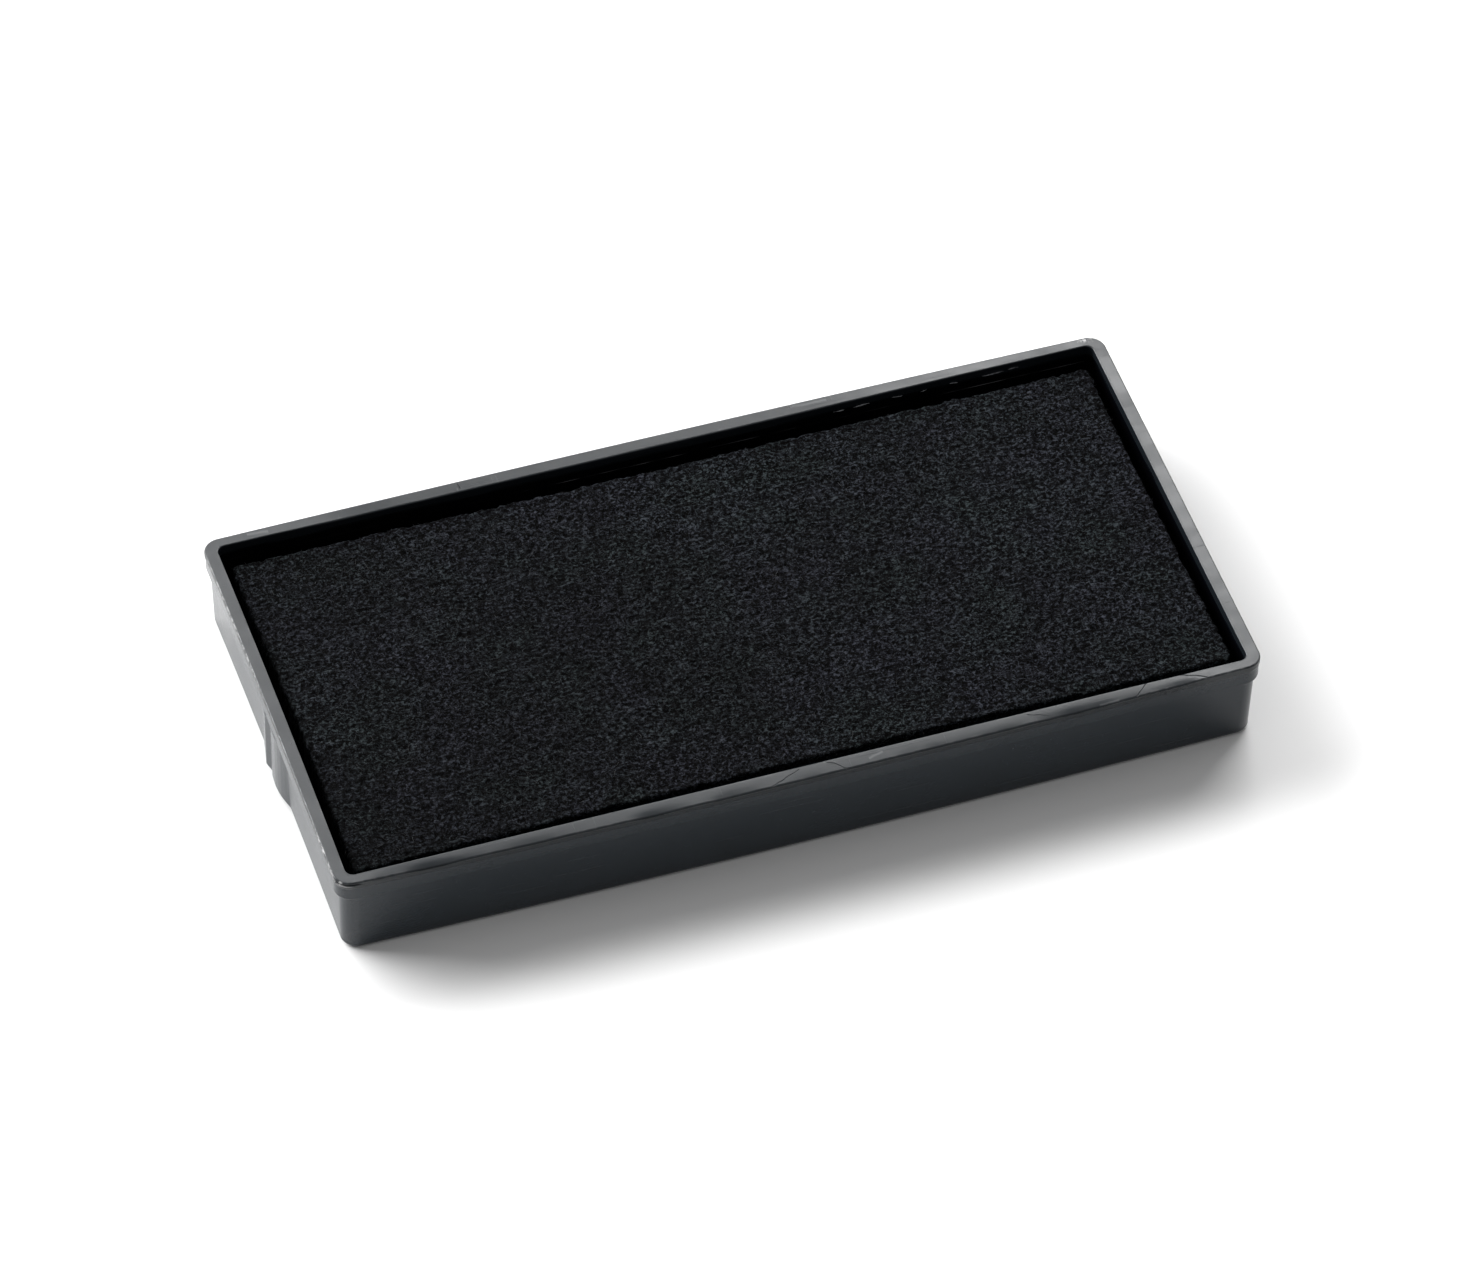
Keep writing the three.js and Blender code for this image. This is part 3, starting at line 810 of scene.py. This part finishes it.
# lighter scuffs on worn edges, plus the painted highlight along the inner edge of the -X rim
base = mix_c(nt, math_n(nt, "MULTIPLY", scuff_and_highlight, 0.55), base, (0.055, 0.057, 0.060))
base = mix_c(nt, math_n(nt, "MULTIPLY", lines, 0.22), base, (0.035, 0.037, 0.040))
base = mix_c(nt, math_n(nt, "MULTIPLY", pale, 0.45), base, (0.11, 0.113, 0.118))
# white stress marks, plus the painted highlight along the outer edge of the -X rim
base = mix_c(nt, stress_marks_and_highlight, base, (0.42, 0.42, 0.42))
base = mix_c(nt, inkm, base, (0.0012, 0.0012, 0.0018))
# painted highlight on the lip at the front -X corner
base = mix_c(nt, attr(nt, "painted_lip_highlight"), base, (0.34, 0.34, 0.345))
# painted highlight: pale colour along the dried ink ridge on the back wall
base = mix_c(nt, math_n(nt, "MULTIPLY", attr(nt, "tide_ridge_and_highlight"), 0.8), base, (0.13, 0.132, 0.14))
nt.links.new(base, b.inputs["Base Color"])
rough = math_n(nt, "ADD", 0.215, math_n(nt, "MULTIPLY", broad, 0.10))
rough = math_n(nt, "ADD", rough, math_n(nt, "MULTIPLY", mid, 0.05))
rough = math_n(nt, "SUBTRACT", rough, math_n(nt, "MULTIPLY", wallm, 0.05))
rough = math_n(nt, "ADD", rough, math_n(nt, "MULTIPLY", scuff_and_highlight, 0.22))
rough = math_n(nt, "ADD", rough, math_n(nt, "MULTIPLY", math_n(nt, "MULTIPLY", rimm, rim_m), 0.11))
rough = math_n(nt, "ADD", rough, math_n(nt, "MULTIPLY", stress_marks_and_highlight, 0.35))
rough = math_n(nt, "ADD", rough, math_n(nt, "MULTIPLY", hair, 0.55))
rough = math_n(nt, "SUBTRACT", rough, math_n(nt, "MULTIPLY", inkm, 0.20), clamp=True)
rough = math_n(nt, "MAXIMUM", rough, 0.06)
nt.links.new(rough, b.inputs["Roughness"])
h = math_n(nt, "ADD", math_n(nt, "MULTIPLY", fine, 0.35), math_n(nt, "MULTIPLY", mid, 0.65))
n1_ = bump(nt, h, 0.000012, 1.0)
n2_ = bump(nt, lines, 0.000006, 1.0, n1_)
n3_ = bump(nt, scuff_and_highlight, 0.000012, 1.0, n2_)
n4_ = bump(nt, math_n(nt, "SUBTRACT", 1.0, hair), 0.00009, 1.0, n3_)
nt.links.new(n4_, b.inputs["Normal"])
b.inputs["IOR"].default_value = 1.50
b.inputs["Specular IOR Level"].default_value = 0.42

# inked felt
m_felt, nt, b = material("inked_felt")
co = node(nt, "ShaderNodeTexCoord").outputs["Object"]
g1 = tex_noise(nt, mapped(nt, co, (2900, 3700, 2900)), 1.0, 3, 0.62, 0.8)
g2 = tex_noise(nt, mapped(nt, co, (9500, 12000, 9500), (0, 0, 0.4)), 1.0, 2, 0.6, 0.9)
strand = tex_noise(nt, mapped(nt, co, (1300, 5600, 5000), (0, 0, 0.5)), 1.0, 2, 0.6, 1.4)
strand2 = tex_noise(nt, mapped(nt, co, (5600, 1500, 5000), (0, 0, -0.35), (1.3, 4.1, 0)), 1.0, 2, 0.6, 1.4)
mott = tex_noise(nt, co, 75, 4, 0.55)
mott2 = tex_noise(nt, co, 420, 3, 0.6)
grain = math_n(nt, "ADD", math_n(nt, "MULTIPLY", g1, 0.55), math_n(nt, "MULTIPLY", g2, 0.12))
grain = math_n(nt, "ADD", grain, math_n(nt, "MULTIPLY", math_n(nt, "MAXIMUM", strand, strand2), 0.33))
dark = ramp(nt, grain, [(0.0, (0.0, 0.0, 0.0)), (0.500, (0.0001, 0.0001, 0.0002)), (0.524, (0.0036, 0.0042, 0.0051)),
                        (0.545, (0.0098, 0.0112, 0.0131)), (0.580, (0.0165, 0.0188, 0.0218)), (0.640, (0.030, 0.0335, 0.038)), (1.0, (0.070, 0.076, 0.083))])
sep = node(nt, "ShaderNodeSeparateXYZ")
nt.links.new(co, sep.inputs[0])
drift = math_n(nt, "ADD", math_n(nt, "MULTIPLY", sep.outputs[0], 2.4), math_n(nt, "MULTIPLY", sep.outputs[1], 2.2))
shade = ramp(nt, math_n(nt, "ADD", math_n(nt, "ADD", math_n(nt, "MULTIPLY", mott, 0.6), math_n(nt, "MULTIPLY", mott2, 0.4)), drift),
             [(0.30, (0.57, 0.58, 0.605)), (0.50, (0.97, 0.99, 1.02)), (0.70, (1.36, 1.40, 1.45))])
mul = node(nt, "ShaderNodeMix", data_type="RGBA", blend_type="MULTIPLY")
mul.inputs[0].default_value = 1.0
nt.links.new(dark, mul.inputs[6]); nt.links.new(shade, mul.inputs[7])
tone = tex_noise(nt, mapped(nt, co, (1, 1, 1), (0, 0, 0), (0.7, 0.3, 0.1)), 170, 3, 0.6)
# painted shade: dark blots where the felt has pits
pit_shade_noise = tex_noise(nt, mapped(nt, co, (2000, 2600, 2000), (0, 0, 0.3), (2.2, 0.4, 0.9)), 1.0, 2, 0.55, 0.9)
pit_shaded = node(nt, "ShaderNodeMix", data_type="RGBA", blend_type="MULTIPLY")
pit_shaded.inputs[0].default_value = 1.0
nt.links.new(mul.outputs[2], pit_shaded.inputs[6])
nt.links.new(ramp(nt, pit_shade_noise, [(0.0, 0.04), (0.37, 0.04), (0.44, 0.85), (0.50, 1.0), (1.0, 1.0)]), pit_shaded.inputs[7])
hue = node(nt, "ShaderNodeMix", data_type="RGBA", blend_type="MULTIPLY")
hue.inputs[0].default_value = 1.0
nt.links.new(pit_shaded.outputs[2], hue.inputs[6])
nt.links.new(ramp(nt, tone, [(0.36, (0.95, 1.04, 0.93)), (0.50, (1.0, 1.0, 1.0)), (0.64, (1.05, 0.98, 1.06))]), hue.inputs[7])
fleck = ramp(nt, g2, [(0.0, 0.0), (0.60, 0.0), (0.70, 1.0), (1.0, 1.0)])
nt.links.new(mix_c(nt, math_n(nt, "MULTIPLY", fleck, 0.35), hue.outputs[2], (0.060, 0.064, 0.070)), b.inputs["Base Color"])
nt.links.new(ramp(nt, g1, [(0.3, 0.95), (0.7, 0.62)]), b.inputs["Roughness"])
hf = math_n(nt, "ADD", math_n(nt, "MULTIPLY", grain, 1.0), math_n(nt, "MULTIPLY", g2, 0.25))
nt.links.new(bump(nt, hf, 0.00016, 0.9), b.inputs["Normal"])
b.inputs["IOR"].default_value = 1.36
b.inputs["Specular IOR Level"].default_value = 0.05

# loose inked fibres
m_fib, nt, b = material("inked_fibre")
co = node(nt, "ShaderNodeTexCoord").outputs["Object"]
f1 = tex_noise(nt, co, 1300, 2, 0.5)
nt.links.new(ramp(nt, f1, [(0.3, (0.002, 0.0022, 0.0026)), (0.55, (0.008, 0.0088, 0.010)), (0.75, (0.022, 0.024, 0.027))]), b.inputs["Base Color"])
nt.links.new(ramp(nt, f1, [(0.3, 0.75), (0.7, 0.45)]), b.inputs["Roughness"])
b.inputs["IOR"].default_value = 1.36

# foam film
m_film, nt, b = material("foam_film")
co = node(nt, "ShaderNodeTexCoord").outputs["Object"]
c1 = tex_noise(nt, co, 3000, 3, 0.6)
c2 = tex_noise(nt, co, 150, 3, 0.6)
nt.links.new(mix_c(nt, c2, mix_c(nt, c1, (0.62, 0.60, 0.54), (0.74, 0.72, 0.66)), (0.50, 0.49, 0.46)), b.inputs["Base Color"])
nt.links.new(ramp(nt, c1, [(0.2, 0.6), (0.8, 0.85)]), b.inputs["Roughness"])
nt.links.new(bump(nt, c1, 0.00005, 0.8), b.inputs["Normal"])

# dried ink on the beads, its pale colour a painted highlight
m_bead_highlight, nt, b = material("dried_ink_painted_highlight")
co = node(nt, "ShaderNodeTexCoord").outputs["Object"]
i1 = tex_noise(nt, co, 2200, 3, 0.6)
nt.links.new(ramp(nt, i1, [(0.35, (0.10, 0.105, 0.115)), (0.6, (0.30, 0.31, 0.33))]), b.inputs["Base Color"])
nt.links.new(ramp(nt, i1, [(0.3, 0.10), (0.7, 0.24)]), b.inputs["Roughness"])
nt.links.new(bump(nt, i1, 0.00002, 0.8), b.inputs["Normal"])
b.inputs["IOR"].default_value = 1.50

tray.data.materials.append(m_tray)
beads.data.materials.append(m_bead_highlight)
felt.data.materials.append(m_felt)
fibres.data.materials.append(m_fib)
film.data.materials.append(m_film)

# ------------------------------------------------------------- frame duties
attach(tray, "root"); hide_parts("tray")
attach(beads, "root")
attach(felt, "root"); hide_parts("felt_pad")
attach(fibres, "root")
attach(film, "root"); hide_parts("adhesive_film")

# -------------------------------------------------------------- the studio
scene = bpy.context.scene
floor_me = bpy.data.meshes.new("studio_floor")
S = 1.6
floor_me.from_pydata([(-S, -S, 0), (S, -S, 0), (S, S, 0), (-S, S, 0)], [], [(0, 1, 2, 3)])
floor = bpy.data.objects.new("studio_floor", floor_me)
scene.collection.objects.link(floor)
m_floor, nt, b = material("studio_paper")
b.inputs["Base Color"].default_value = (0.86, 0.86, 0.86, 1)
b.inputs["Roughness"].default_value = 0.9
b.inputs["Specular IOR Level"].default_value = 0.0
floor_me.materials.append(m_floor)
floor.location.z = -0.00002

world = bpy.data.worlds.new("studio")
scene.world = world
world.use_nodes = True
wt = world.node_tree
bg = wt.nodes["Background"]
wdir = node(wt, "ShaderNodeTexCoord").outputs["Generated"]
dot = node(wt, "ShaderNodeVectorMath", operation="DOT_PRODUCT")
wt.links.new(wdir, dot.inputs[0])
dot.inputs[1].default_value = (0.0, 0.45, 0.55)
wt.links.new(ramp(wt, math_n(wt, "ADD", dot.outputs["Value"], 0.5), [(0.1, 0.14), (0.55, 0.26), (1.0, 0.46)]), bg.inputs[0])
bg.inputs[1].default_value = 1.0


def area(name, loc, aim, sx, sy, radiance, color=(1, 1, 1)):
    """A soft box whose face has the given radiance."""
    d = bpy.data.lights.new(name, "AREA")
    d.shape = "RECTANGLE"
    d.size, d.size_y = sx, sy
    d.energy = radiance * math.pi * sx * sy     # watts for a Lambertian face, per unit of radiance
    d.color = color
    o = bpy.data.objects.new(name, d)
    o.location = loc
    o.rotation_mode = "QUATERNION"
    o.rotation_quaternion = (Vector(aim) - Vector(loc)).to_track_quat("-Z", "Y")
    scene.collection.objects.link(o)
    return o


def around(az, el, dist):
    """A point seen from the object at azimuth az (0 is +Y, 90 is +X) and elevation el, in degrees."""
    a, e = math.radians(az), math.radians(el)
    return (dist * math.sin(a) * math.cos(e), dist * math.cos(a) * math.cos(e), dist * math.sin(e))


area("softbox_back", around(-13, 46.5, 0.95), (0, 0, 0), 1.20, 0.25, 3.3)
area("softbox_back_right", around(38, 42, 0.95), (0, 0, 0), 0.54, 0.40, 8.6)
area("softbox_back_left", around(-42, 30, 0.95), (0, 0, 0), 0.90, 0.40, 15.0)

# camera at the photograph's viewing angle
cam_d = bpy.data.cameras.new("camera")
cam_d.sensor_fit = "HORIZONTAL"
cam_d.sensor_width = 36.0
cam_d.lens = 212.4134781530378
cam_d.clip_start, cam_d.clip_end = 0.01, 20
cam = bpy.data.objects.new("camera", cam_d)
scene.collection.objects.link(cam)
r2 = Vector((0.9487703144295788, -0.3157546669346782, 0.011570685639515575))
u2 = Vector((0.22537854361769566, 0.701968125641084, 0.6756073287499994))
fw = Vector((0.22144841957883665, 0.6383883934509726, -0.7371708462582617))
cam.matrix_world = Matrix((
    (r2.x, u2.x, -fw.x, -0.16036379739631035),
    (r2.y, u2.y, -fw.y, -0.4647775506249983),
    (r2.z, u2.z, -fw.z, 0.5404762796222679),
    (0, 0, 0, 1)))
scene.camera = cam
scene.view_settings.view_transform = "Standard"
scene.view_settings.look = "None"
scene.view_settings.exposure = 0.0
scene.view_settings.gamma = 1.0
